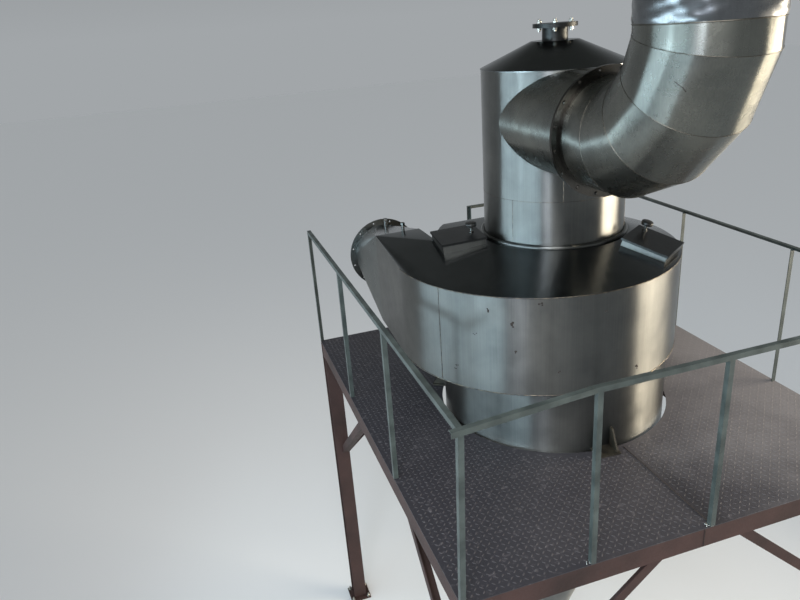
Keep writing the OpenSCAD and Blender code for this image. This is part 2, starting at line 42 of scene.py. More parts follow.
def linear(code):
    """Turns an sRGB hex colour into the linear colour that a shader takes."""
    parts = [int(code[i:i + 2], 16) / 255 for i in (1, 3, 5)]
    return tuple(c / 12.92 if c <= 0.04045 else ((c + 0.055) / 1.055) ** 2.4 for c in parts) + (1.0,)


def add(tree, kind, values=None, links=None, **settings):
    """Adds one node, with its settings, its socket values and the links into it."""
    new = tree.nodes.new(kind)
    for name, value in settings.items():
        setattr(new, name, value)
    for name, value in (values or {}).items():
        new.inputs[name].default_value = value
    for name, source in (links or {}).items():
        tree.links.new(source, new.inputs[name])
    return new


def blank(name):
    """Starts a material. Gives it, its tree, its shader and the link that sets a pattern's place."""
    new = bpy.data.materials.new(name)
    new.use_nodes = True
    tree = new.node_tree
    place = add(tree, "ShaderNodeTexCoord")
    return new, tree, tree.nodes["Principled BSDF"], {"Vector": place.outputs["Object"]}


def dress(names, material):
    """Gives CAD nodes their material."""
    for name in names:
        slots = node[name].data.materials
        slots.clear()
        slots.append(material)


# Red-oxide primer, brushed: a matt, chalky red-brown, cloudy where the brush ran dry, with rust through it.
# Brush strokes are about 12 mm wide, the cloudy cover about 300 mm, and rust spots about 25 mm.
primer, t, skin, here = blank("red_oxide_primer_brushed")
strokes = add(t, "ShaderNodeTexNoise", {"Scale": 1 / 0.012, "Detail": 3.0, "Distortion": 0.4}, here)
cover = add(t, "ShaderNodeTexNoise", {"Scale": 1 / 0.30, "Detail": 5.0}, here)
spots = add(t, "ShaderNodeTexNoise", {"Scale": 1 / 0.025, "Detail": 6.0, "Roughness": 0.7}, here)
tone = add(t, "ShaderNodeValToRGB", links={"Fac": cover.outputs["Fac"]})
tone.color_ramp.elements[0].position, tone.color_ramp.elements[0].color = 0.30, linear("#2e1e1b")
tone.color_ramp.elements[1].position, tone.color_ramp.elements[1].color = 0.72, linear("#47302c")
rust = add(t, "ShaderNodeMapRange", {"From Min": 0.63, "From Max": 0.72}, {"Value": spots.outputs["Fac"]})
body = add(t, "ShaderNodeMix", {"B": linear("#4a2a1e")},
           {"Factor": rust.outputs["Result"], "A": tone.outputs["Color"]}, data_type="RGBA")
t.links.new(body.outputs[2], skin.inputs["Base Color"])
rough = add(t, "ShaderNodeMapRange", {"To Min": 0.55, "To Max": 0.80}, {"Value": strokes.outputs["Fac"]})
t.links.new(rough.outputs["Result"], skin.inputs["Roughness"])
relief = add(t, "ShaderNodeBump", {"Strength": 1.0, "Distance": 0.0005}, {"Height": strokes.outputs["Fac"]})
t.links.new(relief.outputs["Normal"], skin.inputs["Normal"])
dress(["beam_front", "beam_back", "beam_left", "beam_right", "trimmer_frame", "leg_front_left",
       "leg_front_right", "leg_back_left", "leg_back_right"], primer)

# Anchor bolts at the column feet, four to a foot plate.
# M16 studs of zinc-plated steel, set in the floor, each with a washer and a nut.

plate_middle = 0.1025                  # from the outer corner of a foot plate to its middle
hole_from_middle = 0.0805
foot_plate_t = 0.016
washer_r, washer_t = 0.017, 0.003
nut_across, nut_high = 0.024, 0.013
stud_r, stud_end_r = 0.008, 0.007      # the end is chamfered
anchor_rings = [(stud_r, -0.014), (stud_r, 0.034), (stud_end_r, 0.036)]


def make(name, points, faces, material, slot, smooth=False):
    """Makes one mesh piece from points and faces, and rides it on the part."""
    mesh = bpy.data.meshes.new(name)
    mesh.from_pydata([tuple(p) for p in points], [], faces)
    mesh.validate()
    mesh.update()
    for face in mesh.polygons:
        face.use_smooth = smooth
    piece = bpy.data.objects.new(name, mesh)
    bpy.context.scene.collection.objects.link(piece)
    mesh.materials.append(material)
    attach(piece, "root")


def turned(rings, centre, axis, sides, start=0.0):
    """Points and faces of a closed body with the given (radius, height) rings about an axis."""
    axis = Vector(axis).normalized()
    side = axis.orthogonal().normalized()
    other = axis.cross(side)
    points, faces = [], []
    for radius, height in rings:
        for i in range(sides):
            a = start + 2 * math.pi * i / sides
            spoke = side * math.cos(a) + other * math.sin(a)
            points.append(Vector(centre) + axis * height + spoke * radius)
    for r in range(len(rings) - 1):
        for i in range(sides):
            j = (i + 1) % sides
            faces.append((r * sides + i, r * sides + j, (r + 1) * sides + j, (r + 1) * sides + i))
    faces.append(tuple(reversed(range(sides))))
    faces.append(tuple(range((len(rings) - 1) * sides, len(rings) * sides)))
    return points, faces


def gather(parts):
    """Joins several lists of points and faces into one."""
    points, faces = [], []
    for p, f in parts:
        base = len(points)
        points += p
        faces += [tuple(i + base for i in face) for face in f]
    return points, faces


def nut(centre, axis, across, high, turn=0.0):
    """A hexagon nut or bolt head with chamfered corners."""
    r = across / math.sqrt(3)
    rings = [(r * 0.92, 0), (r, high * 0.12), (r, high * 0.85), (r * 0.88, high)]
    return turned(rings, centre, axis, 6, turn)


# Zinc plating, passivated: a bright, slightly yellow glint, clouded in patches about 8 mm wide.
zinc, t, skin, here = blank("zinc_plated_steel")
skin.inputs["Metallic"].default_value = 1.0
patch = add(t, "ShaderNodeTexNoise", {"Scale": 1 / 0.008, "Detail": 3.0}, here)
tone = add(t, "ShaderNodeValToRGB", links={"Fac": patch.outputs["Fac"]})
tone.color_ramp.elements[0].color, tone.color_ramp.elements[1].color = linear("#b4b3a9"), linear("#dcdcd6")
t.links.new(tone.outputs["Color"], skin.inputs["Base Color"])
rough = add(t, "ShaderNodeMapRange", {"To Min": 0.22, "To Max": 0.42}, {"Value": patch.outputs["Fac"]})
t.links.new(rough.outputs["Result"], skin.inputs["Roughness"])

level_up = (0, 0, 1)
parts = []
for foot in ("leg_front_left", "leg_front_right", "leg_back_left", "leg_back_right"):
    low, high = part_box(foot)
    # the foot plate lies at the outer corner of the column's box
    cx = low.x + plate_middle if "left" in foot else high.x - plate_middle
    cy = low.y + plate_middle if "front" in foot else high.y - plate_middle
    for dx in (-hole_from_middle, hole_from_middle):
        for dy in (-hole_from_middle, hole_from_middle):
            at = Vector((cx + dx, cy + dy, foot_plate_t))
            parts.append(turned([(washer_r, 0), (washer_r, washer_t)], at, level_up, 24))
            parts.append(nut(at + Vector((0, 0, washer_t)), level_up, nut_across, nut_high, dx * 9))
            parts.append(turned(anchor_rings, at, level_up, 16))
make("anchor_bolts", *gather(parts), zinc, "red_oxide")

# Platform plates: two sheets of checker plate with a round hole for the barrel.
# Mild steel rolled with raised lozenges, primed grey, and stitched to the channels by weld.

# Grey primer, scuffed by feet: a dull purple-grey, darkened at the left by painted shade and paled at the
# right by a painted sheen.
# Stains are about 600 mm wide, scuffs about 40 mm, and dust grit about 3 mm.
worn_and_painted_light, t, skin, here = blank("grey_primer_worn_with_painted_shade_and_sheen")
stain = add(t, "ShaderNodeTexNoise", {"Scale": 1 / 0.60, "Detail": 6.0, "Roughness": 0.55}, here)
scuff = add(t, "ShaderNodeTexNoise", {"Scale": 1 / 0.040, "Detail": 5.0, "Roughness": 0.7, "Distortion": 0.8},
            here)
grit = add(t, "ShaderNodeTexNoise", {"Scale": 1 / 0.003, "Detail": 2.0}, here)
across = add(t, "ShaderNodeSeparateXYZ", links=here)
# the tone runs across the plates from painted shade at the left to a painted sheen at the right, and the
# stains make its edge wander
drift = add(t, "ShaderNodeMath", {1: 0.5}, {0: stain.outputs["Fac"]}, operation="SUBTRACT")
shift = add(t, "ShaderNodeMath", {1: 2.2}, {0: drift.outputs[0], 2: across.outputs["X"]},
            operation="MULTIPLY_ADD")
shade_to_sheen = add(t, "ShaderNodeMapRange", {"From Min": -1.5, "From Max": 1.5}, {"Value": shift.outputs[0]})
tone = add(t, "ShaderNodeValToRGB", links={"Fac": shade_to_sheen.outputs["Result"]})
tone.color_ramp.elements[0].position, tone.color_ramp.elements[0].color = 0.05, linear("#2f2d32")
tone.color_ramp.elements[1].position, tone.color_ramp.elements[1].color = 0.95, linear("#777373")
middle = tone.color_ramp.elements.new(0.50)
middle.color = linear("#3f3c3f")
bare = add(t, "ShaderNodeMapRange", {"From Min": 0.56, "From Max": 0.72, "To Max": 0.40},
           {"Value": scuff.outputs["Fac"]})
body = add(t, "ShaderNodeMix", {"B": linear("#7c7678")},
           {"Factor": bare.outputs["Result"], "A": tone.outputs["Color"]}, data_type="RGBA")
# the plates have buckled along the front half of their seam, and a soft band of painted shade shows the
# buckle:
# its middle is 55 mm to the right of the seam, and it fades over 120 mm
aside = add(t, "ShaderNodeMath", {1: 0.055}, {0: across.outputs["X"]}, operation="SUBTRACT")
aside = add(t, "ShaderNodeMath", links={0: aside.outputs[0]}, operation="ABSOLUTE")
band = add(t, "ShaderNodeMapRange", {"From Min": 0.0, "From Max": 0.12, "To Min": 0.60, "To Max": 0.0},
           {"Value": aside.outputs[0]}, interpolation_type="SMOOTHSTEP")
front = add(t, "ShaderNodeMapRange", {"From Min": -0.85, "From Max": -1.15}, {"Value": across.outputs["Y"]})
buckle_shade = add(t, "ShaderNodeMath", links={0: band.outputs["Result"], 1: front.outputs["Result"]},
          operation="MULTIPLY")
body = add(t, "ShaderNodeMix", {"B": linear("#29272a")},
           {"Factor": buckle_shade.outputs[0], "A": body.outputs[2]}, data_type="RGBA")
t.links.new(body.outputs[2], skin.inputs["Base Color"])
rough = add(t, "ShaderNodeMapRange", {"To Min": 0.62, "To Max": 0.38}, {"Value": scuff.outputs["Fac"]})
t.links.new(rough.outputs["Result"], skin.inputs["Roughness"])
relief = add(t, "ShaderNodeBump", {"Strength": 1.0, "Distance": 0.0003}, {"Height": grit.outputs["Fac"]})
t.links.new(relief.outputs["Normal"], skin.inputs["Normal"])
dress(["plate_left", "plate_right"], worn_and_painted_light)

# The same primer, with its painted shade and sheen, rubbed thin on the lozenges: a little paler, with a hint
# of bare metal.
rubbed = worn_and_painted_light.copy()
rubbed.name = "checker_lozenges_rubbed_bare"
t = rubbed.node_tree
skin = t.nodes["Principled BSDF"]
old = skin.inputs["Base Color"].links[0].from_socket
paler = add(t, "ShaderNodeMix", {"Factor": 0.10, "B": linear("#b3adac")}, {"A": old}, data_type="RGBA")
t.links.new(paler.outputs[2], skin.inputs["Base Color"])
skin.inputs["Metallic"].default_value = 0.10

low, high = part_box("barrel")
axis = Vector(((low.x + high.x) / 2, (low.y + high.y) / 2, 0))
barrel_r = (high.x - low.x) / 2
plate_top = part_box("plate_left")[1].z
# lozenges 26 by 9 mm and 1.6 mm high, in turn at right angles, on a 34 mm grid
pitch, half_long, half_wide, raised = 0.034, 0.013, 0.0045, 0.0016
plain_edge = 0.02                      # the pattern starts this far from an edge
plain_ring = 0.06                      # and stops this far from the barrel
sunk = 0.0002                          # so that no gap shows under a lozenge
lozenge_faces = ((0, 1, 7, 6), (1, 2, 8, 7), (2, 3, 8), (3, 4, 8), (4, 5, 9, 8), (5, 0, 6, 9), (6, 7, 8, 9))
for name in ("plate_left", "plate_right"):
    low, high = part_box(name)
    points, faces = [], []
    nx = int((high.x - low.x - plain_edge) / pitch)
    ny = int((high.y - low.y - plain_edge) / pitch)
    for i in range(nx):
        for j in range(ny):
            x = low.x + plain_edge + (i + 0.5) * pitch
            y = low.y + plain_edge + (j + 0.5) * pitch
            if math.hypot(x - axis.x, y - axis.y) < barrel_r + plain_ring:
                continue
            a = math.pi / 4 if (i + j) % 2 else -math.pi / 4
            u = Vector((math.cos(a), math.sin(a), 0)) * half_long
            v = Vector((-math.sin(a), math.cos(a), 0)) * half_wide
            c, base = Vector((x, y, plate_top - sunk)), len(points)
            lift = c + Vector((0, 0, raised))
            points += [c - u, c - u * 0.4 - v, c + u * 0.4 - v, c + u, c + u * 0.4 + v, c - u * 0.4 + v]
            points += [lift - u * 0.55, lift - v * 0.45, lift + u * 0.55, lift + v * 0.45]
            faces += [tuple(base + k for k in f) for f in lozenge_faces]
    make(name + "_lozenges", points, faces, rubbed, "checker_plate")

# Seam of the plates, butt weld of the front channel below it, and weld spatter at the front posts' feet.
# Stick-welded joints of mild steel, left as they came, so that dirt and mill scale have filled them.

seam_bead_r, splice_bead_r = 0.0045, 0.0030
from_edge, from_barrel = 0.01, 0.05    # where the seam's dirt ends
drop_rings = [(0.0045, 0), (0.0040, 0.0022), (0.0015, 0.0038)]
splice_x = -0.05                       # just left of the seam
post_places = (-0.745, 0.0, 0.745)
drops_to_a_foot = 26


def bead(path, radius, closed=False, sides=6, ripple=0.12):
    """Points and faces of a weld bead or bent rod that follows a path."""
    path = [Vector(p) for p in path]
    count, points, faces = len(path), [], []
    normal = None
    for i, p in enumerate(path):
        ahead = path[(i + 1) % count] if closed or i < count - 1 else p
        behind = path[i - 1] if closed or i > 0 else p
        along = (ahead - behind).normalized()
        if normal is None:
            normal = along.orthogonal().normalized()
        normal = (normal - along * normal.dot(along)).normalized()
        other = along.cross(normal)
        r = radius * (1 + ripple * math.sin(i * 2.1))
        for k in range(sides):
            a = 2 * math.pi * k / sides
            points.append(p + (normal * math.cos(a) + other * math.sin(a)) * r)
    for i in range(count if closed else count - 1):
        j = (i + 1) % count
        for k in range(sides):
            m = (k + 1) % sides
            faces.append((i * sides + k, i * sides + m, j * sides + m, j * sides + k))
    if not closed:
        faces.append(tuple(reversed(range(sides))))
        faces.append(tuple(range((count - 1) * sides, count * sides)))
    return points, faces


def line(a, b, step=0.008):
    """Evenly spaced points from a to b."""
    a, b = Vector(a), Vector(b)
    n = max(2, int((b - a).length / step))
    return [a.lerp(b, i / n) for i in range(n + 1)]


# Dirt and mill scale: nearly black, dead matt, and crusted in lumps about 5 mm wide.
grime, t, skin, here = blank("dirt_and_mill_scale_in_the_joint")
lumps = add(t, "ShaderNodeTexNoise", {"Scale": 1 / 0.005, "Detail": 3.0}, here)
tone = add(t, "ShaderNodeValToRGB", links={"Fac": lumps.outputs["Fac"]})
tone.color_ramp.elements[0].color, tone.color_ramp.elements[1].color = linear("#1d1917"), linear("#3a302b")
t.links.new(tone.outputs["Color"], skin.inputs["Base Color"])
skin.inputs["Roughness"].default_value = 0.85

low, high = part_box("plate_left")
dirt_end_r = barrel_r + from_barrel
seam = [line((high.x, low.y + from_edge, plate_top), (high.x, axis.y - dirt_end_r, plate_top)),
        line((high.x, axis.y + dirt_end_r, plate_top), (high.x, high.y - from_edge, plate_top))]
make("plate_seam_dirt", *gather([bead(s, seam_bead_r) for s in seam]), grime, "checker_plate", True)

low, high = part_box("beam_front")
splice = line((splice_x, low.y - 0.0005, low.z + 0.004), (splice_x, low.y - 0.0005, high.z - 0.001))
make("beam_splice_weld", *bead(splice, splice_bead_r), grime, "red_oxide", True)

# the drops are bare steel, as bright as the zinc on the bolts
chance = random.Random(7)
drops = []
for x in post_places:
    for k in range(drops_to_a_foot):
        at = Vector((x + chance.gauss(0, 0.016), low.y + 0.016 + chance.gauss(0, 0.010), plate_top - 0.0005))
        if at.y > low.y + 0.003:
            drops.append(turned(drop_rings, at, level_up, 8))
make("post_foot_spatter", *gather(drops), zinc, "rail_paint", True)

# Support lugs: foot plates with two tapered gussets, which carry the barrel on the platform.
# Mild steel plate, cut and welded, then painted with a brush.

# Olive paint, brushed: dark and half dull, paler where dust lies in patches about 50 mm wide.
# The brush marks are about 4 mm wide.
olive, t, skin, here = blank("dark_olive_paint_brushed")
dust = add(t, "ShaderNodeTexNoise", {"Scale": 1 / 0.050, "Detail": 5.0}, here)
marks = add(t, "ShaderNodeTexNoise", {"Scale": 1 / 0.004, "Detail": 2.0}, here)
tone = add(t, "ShaderNodeValToRGB", links={"Fac": dust.outputs["Fac"]})
tone.color_ramp.elements[0].position, tone.color_ramp.elements[0].color = 0.35, linear("#1f1c15")
tone.color_ramp.elements[1].position, tone.color_ramp.elements[1].color = 0.75, linear("#3b362b")
t.links.new(tone.outputs["Color"], skin.inputs["Base Color"])
skin.inputs["Roughness"].default_value = 0.55
relief = add(t, "ShaderNodeBump", {"Strength": 1.0, "Distance": 0.0003}, {"Height": marks.outputs["Fac"]})
t.links.new(relief.outputs["Normal"], skin.inputs["Normal"])
dress(["lug_front", "lug_right", "lug_left"], olive)

# Barrel, cone courses, dust spigot, vortex tube and the walls and floor of the scroll.
# 5 mm cold-rolled stainless sheet, rolled to shape and butt-welded from outside.


def stainless(name, dark, pale, roughness, wave, drawn=0.0, along=None):
    """Stainless sheet of one finish. dark and pale are its two tones, wave is the depth of its rolling
    waves, drawn is how far the grain stretches a reflection, and along gives the stretch's direction."""
    sheet, t, skin, here = blank(name)
    skin.inputs["Metallic"].default_value = 1.0
    skin.inputs["Anisotropic"].default_value = drawn
    # mill cloudiness about 300 mm, hand smudges about 90 mm, roll grain drawn 6 mm wide so that it shows
    cloud = add(t, "ShaderNodeTexNoise", {"Scale": 1 / 0.30, "Detail": 4.0, "Roughness": 0.6}, here)
    smudge = add(t, "ShaderNodeTexNoise", {"Scale": 1 / 0.090, "Detail": 6.0, "Roughness": 0.65}, here)
    stretch = add(t, "ShaderNodeMapping", {"Scale": (160.0, 160.0, 2.0)}, here)
    grain = add(t, "ShaderNodeTexNoise", {"Scale": 1.0, "Detail": 2.0}, {"Vector": stretch.outputs["Vector"]})
    mixed = add(t, "ShaderNodeMix", {"Factor": 0.25}, {"A": cloud.outputs["Fac"], "B": grain.outputs["Fac"]})
    tone = add(t, "ShaderNodeValToRGB", links={"Fac": mixed.outputs[0]})
    tone.color_ramp.elements[0].position, tone.color_ramp.elements[0].color = 0.30, linear(dark)
    tone.color_ramp.elements[1].position, tone.color_ramp.elements[1].color = 0.70, linear(pale)
    # handling marks: faint grey scuffs a few millimetres wide, about 45 mm apart
    marks = add(t, "ShaderNodeTexNoise", {"Scale": 1 / 0.045, "Detail": 3.0, "Roughness": 0.75}, here)
    scuff = add(t, "ShaderNodeMapRange", {"From Min": 0.73, "From Max": 0.83, "To Max": 0.16},
                {"Value": marks.outputs["Fac"]})
    body = add(t, "ShaderNodeMix", {"B": linear("#4a4c4e")},
               {"Factor": scuff.outputs["Result"], "A": tone.outputs["Color"]}, data_type="RGBA")
    t.links.new(body.outputs[2], skin.inputs["Base Color"])
    smooth, dull = roughness - 0.02, roughness + 0.07
    rough = add(t, "ShaderNodeMapRange",
                {"From Min": 0.30, "From Max": 0.80, "To Min": smooth, "To Max": dull},
                {"Value": smudge.outputs["Fac"]})
    t.links.new(rough.outputs["Result"], skin.inputs["Roughness"])
    # the sheet's own waves are about 600 mm long, and the grain is about two hundredths of a millimetre deep
    waves = add(t, "ShaderNodeTexNoise", {"Scale": 1 / 0.60, "Detail": 0.0}, here)
    soft = add(t, "ShaderNodeBump", {"Strength": 1.0, "Distance": wave}, {"Height": waves.outputs["Fac"]})
    fine = add(t, "ShaderNodeBump", {"Strength": 1.0, "Distance": 0.000018},
               {"Height": grain.outputs["Fac"], "Normal": soft.outputs["Normal"]})
    t.links.new(fine.outputs["Normal"], skin.inputs["Normal"])
    if along:
        t.links.new(along(t, here["Vector"]), skin.inputs["Tangent"])
    return sheet


def upright(t, place):
    """Stretch direction of a wall that stands: up, a hair off so that level faces have one too."""
    return add(t, "ShaderNodeCombineXYZ", {"X": 0.04, "Y": 0.05, "Z": 1.0}).outputs[0]


# Cold-rolled finish, with its grain round the body: it draws each reflection out into a soft upright band.
bright = stainless("stainless_cold_rolled_bright", "#666867", "#7f807d", 0.32, 0.005, 0.95, upright)
dress(["barrel", "cone_upper", "cone_lower", "dust_flange", "vortex_tube", "scroll_floor",
       "scroll_wall_inlet", "scroll_wall_front", "scroll_wall_back"], bright)

# Welds of the scroll and the barrel: two upright seams, the rim and the ledge, and the barrel's own seam.
# Stainless filler, laid by hand and left unbrushed, with its heat colours.

# Heat-tinted weld: dull metal that turns from grey to straw every 30 mm or so.
tint, t, skin, here = blank("stainless_weld_heat_tinted")
skin.inputs["Metallic"].default_value = 1.0
heat = add(t, "ShaderNodeTexNoise", {"Scale": 1 / 0.030, "Detail": 3.0}, here)
tone = add(t, "ShaderNodeValToRGB", links={"Fac": heat.outputs["Fac"]})
tone.color_ramp.elements[0].position, tone.color_ramp.elements[0].color = 0.35, linear("#515051")
tone.color_ramp.elements[1].position, tone.color_ramp.elements[1].color = 0.68, linear("#857c6e")
t.links.new(tone.outputs["Color"], skin.inputs["Base Color"])
skin.inputs["Roughness"].default_value = 0.38

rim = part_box("scroll_wall_front")[1].z
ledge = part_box("scroll_wall_front")[0].z
reach_left = axis.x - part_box("scroll_wall_inlet")[0].x     # from the axis to the straight wall at the left
reach_right = barrel_r + 0.005                             # from the axis to the end of the turn
turn_r = (reach_left + reach_right) / 2                    # radius of the half circle in front
turn_x = axis.x - (reach_left - reach_right) / 2
left_seam, right_seam = 206.7, 359.9                       # in degrees about the middle of the turn
seam_r, rim_r, ring_r, barrel_seam_r = 0.0024, 0.0035, 0.004, 0.0028


def on_scroll(degrees, z, out=0.0):
    """Point on the outside of the scroll's front half circle."""
    a = math.radians(degrees)
    r = turn_r + out
    return Vector((turn_x + r * math.cos(a), axis.y + r * math.sin(a), z))


def round_axis(r, z):
    """Points on a level circle about the axis of the cyclone, 3 degrees apart."""
    turns = [math.radians(a) for a in range(0, 360, 3)]
    return [Vector((axis.x + r * math.cos(a), axis.y + r * math.sin(a), z)) for a in turns]


half_degrees = range(360, 721)
welds = [bead(line(on_scroll(a, ledge + 0.005), on_scroll(a, rim - 0.004)), seam_r)
         for a in (left_seam, right_seam)]
welds += [bead([on_scroll(a / 2, z) for a in half_degrees], rim_r) for z in (rim + 0.001, ledge - 0.001)]
welds.append(bead(round_axis(barrel_r + 0.001, ledge - 0.006), ring_r, True))
low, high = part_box("barrel")
back = axis.y + barrel_r
welds.append(bead(line((axis.x, back, low.z + 0.01), (axis.x, back, high.z - 0.01)), barrel_seam_r))
welds.append(bead(round_axis(barrel_r + 0.001, low.z), ring_r, True))
make("scroll_and_barrel_welds", *gather(welds), tint, "stainless", True)

# Smears on the scroll wall: dried drips and knocks, each a cluster of thin spots.
# Dirt baked onto the sheet, placed by angle about the middle of the turn, height and width.

smears = ((235.4, 4.011, 0.010), (226.7, 4.093, 0.007), (236.3, 3.838, 0.006), (283.0, 3.632, 0.008),
          (245.1, 4.139, 0.007), (213.5, 3.657, 0.005), (213.9, 3.690, 0.006), (251.9, 3.707, 0.005),
          (222.0, 3.930, 0.004), (268.0, 4.060, 0.004))
spots = []
for degrees, z, wide in smears:
    for k in range(4):
        at = on_scroll(degrees + chance.gauss(0, 0.35), z + chance.gauss(0, wide), -0.0003)
        out = Vector((at.x - turn_x, at.y - axis.y, 0))
        size = wide * chance.uniform(0.5, 1.0)
        rings = [(size, 0), (size * 0.8, 0.0007), (size * 0.3, 0.0009)]
        spots.append(turned(rings, at, out, 11, chance.random()))
make("scroll_smears", *gather(spots), grime, "stainless", True)

# Deck of the scroll and cone roof of the drum.
# The same sheet, cut to its outline, bent to its slope and welded to the walls.

# Mill film polished off: a soft dark mirror of what stands above it.
mirror = stainless("stainless_mirror_polished", "#6c6f70", "#7c7e7f", 0.20, 0.006)
dress(["scroll_deck", "drum_roof"], mirror)

# End of the inlet channel: square-to-round transition, its flange ring and two test nipples.
# Folded and welded stainless sheet, with the fold lines showing as hard edges.
# The nipples are stubs of pipe welded into the top, each closed by a hexagon cap.

# from this slope on, a face is polished like the deck and also painted darker, as a painted dark reflection
polish_from, polish_full = 0.78, 0.86  # how far a face looks up before it is polished like the deck
nipple_r, nipple_high, nipple_in = 0.012, 0.045, 0.012
nipple_left = 0.90                     # from the axis
nipple_cap_across, nipple_cap_high = 0.030, 0.018
nipples = ((0.58, 4.249), (1.04, 4.168))


def lengthwise(t, place):
    """Stretch direction of a level duct: along the duct."""
    return add(t, "ShaderNodeCombineXYZ", {"X": 0.05, "Y": 1.0, "Z": 0.04}).outputs[0]


# Cold-rolled finish, with its grain across the duct: its sides show level bands, and its top a smooth polish
# with a painted dark reflection.
duct = stainless("stainless_cold_rolled_duct", "#6c7070", "#858784", 0.28, 0.005, 0.85, lengthwise)
dress(["inlet_transition", "inlet_flange"], duct)
t = duct.node_tree
skin = t.nodes["Principled BSDF"]
# faces that look up get a smooth polish and a darker colour, which is a painted dark reflection
facing = add(t, "ShaderNodeNewGeometry")
height = add(t, "ShaderNodeSeparateXYZ", links={"Vector": facing.outputs["True Normal"]})
up = add(t, "ShaderNodeMapRange", {"From Min": polish_from, "From Max": polish_full},
         {"Value": height.outputs["Z"]})
old = skin.inputs["Base Color"].links[0].from_socket
painted_dark_top = add(t, "ShaderNodeMix", {"B": linear("#55585a")}, {"Factor": up.outputs["Result"], "A": old},
           data_type="RGBA")
t.links.new(painted_dark_top.outputs[2], skin.inputs["Base Color"])
old = skin.inputs["Roughness"].links[0].from_socket
smooth = add(t, "ShaderNodeMix", {"B": 0.10}, {"Factor": up.outputs["Result"], "A": old})
t.links.new(smooth.outputs[0], skin.inputs["Roughness"])

parts = []
for dy, z in nipples:
    at = Vector((axis.x - nipple_left, axis.y + dy, z))
    parts.append(turned([(nipple_r, -nipple_in), (nipple_r, nipple_high)], at, level_up, 20))
    parts.append(nut(at + Vector((0, 0, nipple_high)), level_up, nipple_cap_across, nipple_cap_high, dy))
make("inlet_test_nipples", *gather(parts), bright, "stainless")

# Outlet drum with the bead ring round its foot.
# Rolled stainless with one level and four upright welds, ground flush but still showing.

dress(["outlet_drum", "drum_foot_ring"], bright)
low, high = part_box("outlet_drum")
drum_r = (high.x - low.x) / 2
foot, eave = low.z, high.z
course = foot + 0.298                  # height of the level weld
level_r, upright_r = 0.0016, 0.0018
seams = [bead(round_axis(drum_r - 0.0003, course), level_r, True)]
for degrees, z0, z1 in ((-152, foot + 0.03, course), (-38, foot + 0.03, course), (-112, course, eave),
                        (64, course, eave)):
    x = axis.x + drum_r * math.cos(math.radians(degrees))
    y = axis.y + drum_r * math.sin(math.radians(degrees))
    seams.append(bead(line((x, y, z0), (x, y, z1)), upright_r))
make("drum_welds", *gather(seams), tint, "stainless", True)

# Roof collar and blind cover, clamped by six studs.
# Turned stainless rings; each stud carries a bright nut above and below.

bolt_circle = 0.112
below, above = 0.034, 0.022            # how far a stud stands out
cap_across, cap_high = 0.024, 0.015
ring_t = 0.012                         # thickness of the flange under the cover

# Weathered finish: a dull dark grey, so that only the nuts catch the light.
weathered = stainless("stainless_cover_weathered_dark", "#2b2c2c", "#424342", 0.36, 0.001)
dress(["roof_flange", "roof_cover"], weathered)
low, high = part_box("roof_cover")
parts = []
for i in range(6):
    a = math.radians(i * 60)
    at = Vector((axis.x + bolt_circle * math.cos(a), axis.y + bolt_circle * math.sin(a), 0))
    rings = [(stud_r, low.z - below), (stud_r, high.z + above), (stud_end_r, high.z + above + 0.002)]
    parts.append(turned(rings, at, level_up, 16))
    parts.append(nut(at + Vector((0, 0, low.z - ring_t)), (0, 0, -1), cap_across, cap_high, i * 0.5))
    parts.append(nut(at + Vector((0, 0, high.z)), level_up, cap_across, cap_high, i * 0.9))
make("roof_studs", *gather(parts), zinc, "stainless")

# Outlet branch and five-piece mitred elbow with the ring at its top.
# Rolled stainless pipe; each mitre is welded all round from outside, and the beads are brushed.

elbow_start = 0.930                    # from the axis of the cyclone to the start of the bend
elbow_r = 0.590                        # centreline radius of the bend
flange_reach = 0.046                   # how far the gasket stands out beyond the pipe
gore_angle = 22.5
low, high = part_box("branch_gasket")
joint = (low + high) / 2
pipe_r = (high.x - low.x) / 2 - flange_reach
bend = Vector((joint.x, axis.y - elbow_start, joint.z + elbow_r))
riser = Vector((joint.x, axis.y - elbow_start - elbow_r, 0))
riser_seam = 5.600
mitre_bead_r, riser_bead_r = 0.0018, 0.0028


def round_bend(t, place):
    """Stretch direction of the elbow: along its centreline, which turns about the centre of the bend."""
    where = add(t, "ShaderNodeSeparateXYZ", links={"Vector": place})
    y = add(t, "ShaderNodeMath", {1: bend.y}, {0: where.outputs["Y"]}, operation="SUBTRACT")
    z = add(t, "ShaderNodeMath", {1: bend.z}, {0: where.outputs["Z"]}, operation="SUBTRACT")
    y = add(t, "ShaderNodeMath", {1: 0.0}, {0: y.outputs[0]}, operation="MINIMUM")
    z = add(t, "ShaderNodeMath", {1: 0.0}, {0: z.outputs[0]}, operation="MINIMUM")
    y = add(t, "ShaderNodeMath", {1: -1.0}, {0: y.outputs[0]}, operation="MULTIPLY")
    return add(t, "ShaderNodeCombineXYZ", {"X": 0.03}, {"Y": z.outputs[0], "Z": y.outputs[0]}).outputs[0]


# Cold-rolled finish, with its grain round the pipe: bands that follow the bend from mitre to mitre.
pipe = stainless("stainless_cold_rolled_pipe", "#676966", "#85867f", 0.26, 0.005, 0.92, round_bend)
dress(["outlet_branch", "elbow_stub", "elbow_gore_1", "elbow_gore_2", "elbow_gore_3", "elbow_end",
       "riser_flange"], pipe)

